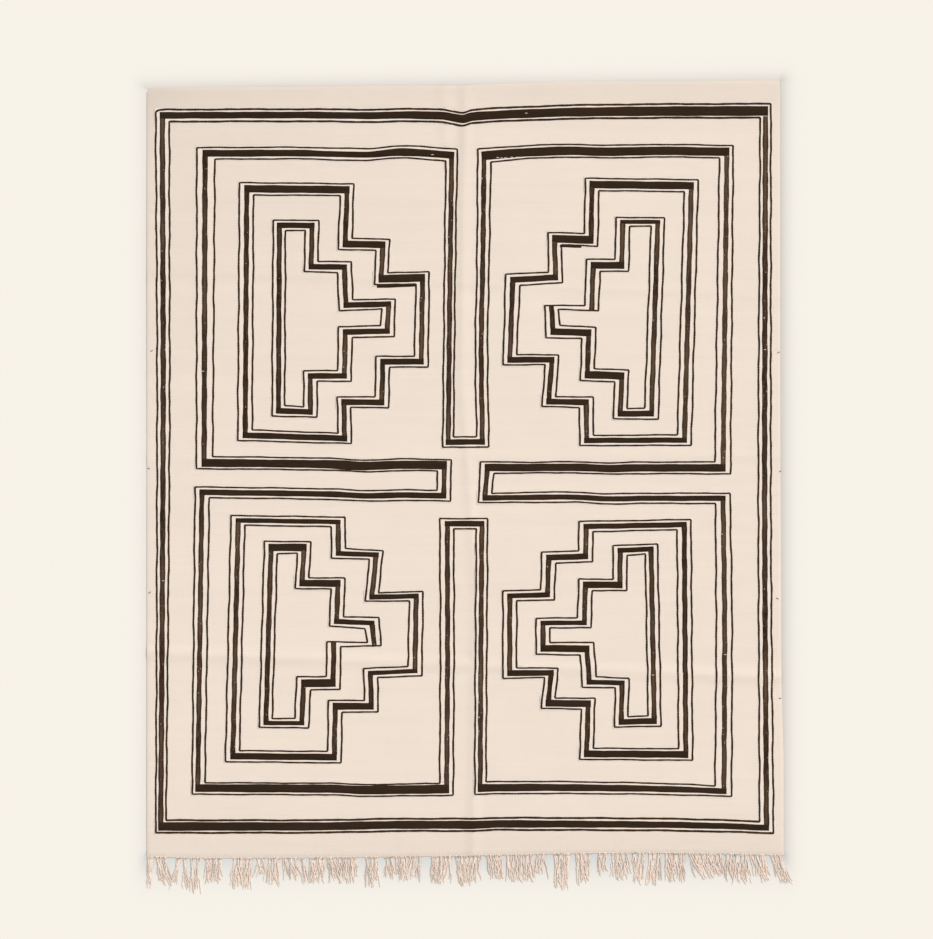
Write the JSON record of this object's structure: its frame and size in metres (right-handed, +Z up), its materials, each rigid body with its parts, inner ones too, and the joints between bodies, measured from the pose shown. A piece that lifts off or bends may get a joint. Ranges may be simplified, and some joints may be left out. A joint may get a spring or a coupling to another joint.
{
  "type": "flat-woven kilim rug",
  "caption": "Rectangular flat-woven wool kilim, lying flat, with soft storage folds, woven stepped line figures and a knotted fringe at one end.",
  "frame": {"origin": "on the floor under the middle of the whole outline, fringe included", "axes": "+Z up from the floor, +Y along the rug's length towards the plain end, +X across its width; the fringe is towards -Y"},
  "size_m": [2.0298, 2.5408, 0.0089],
  "materials": {
    "undyed_wool": "matt undyed wool in a fine weft-faced plain weave, with faint bands where the weft yarn changes",
    "dark_wool": "matt dark brown wool, woven into the cloth as bands and thin lines",
    "fringe_yarn": "twisted undyed warp yarn, knotted at the cloth's end"
  },
  "bodies": {
    "root": {"kilim_cloth": "undyed_wool", "fringe": "fringe_yarn"}
  },
  "joints": []
}
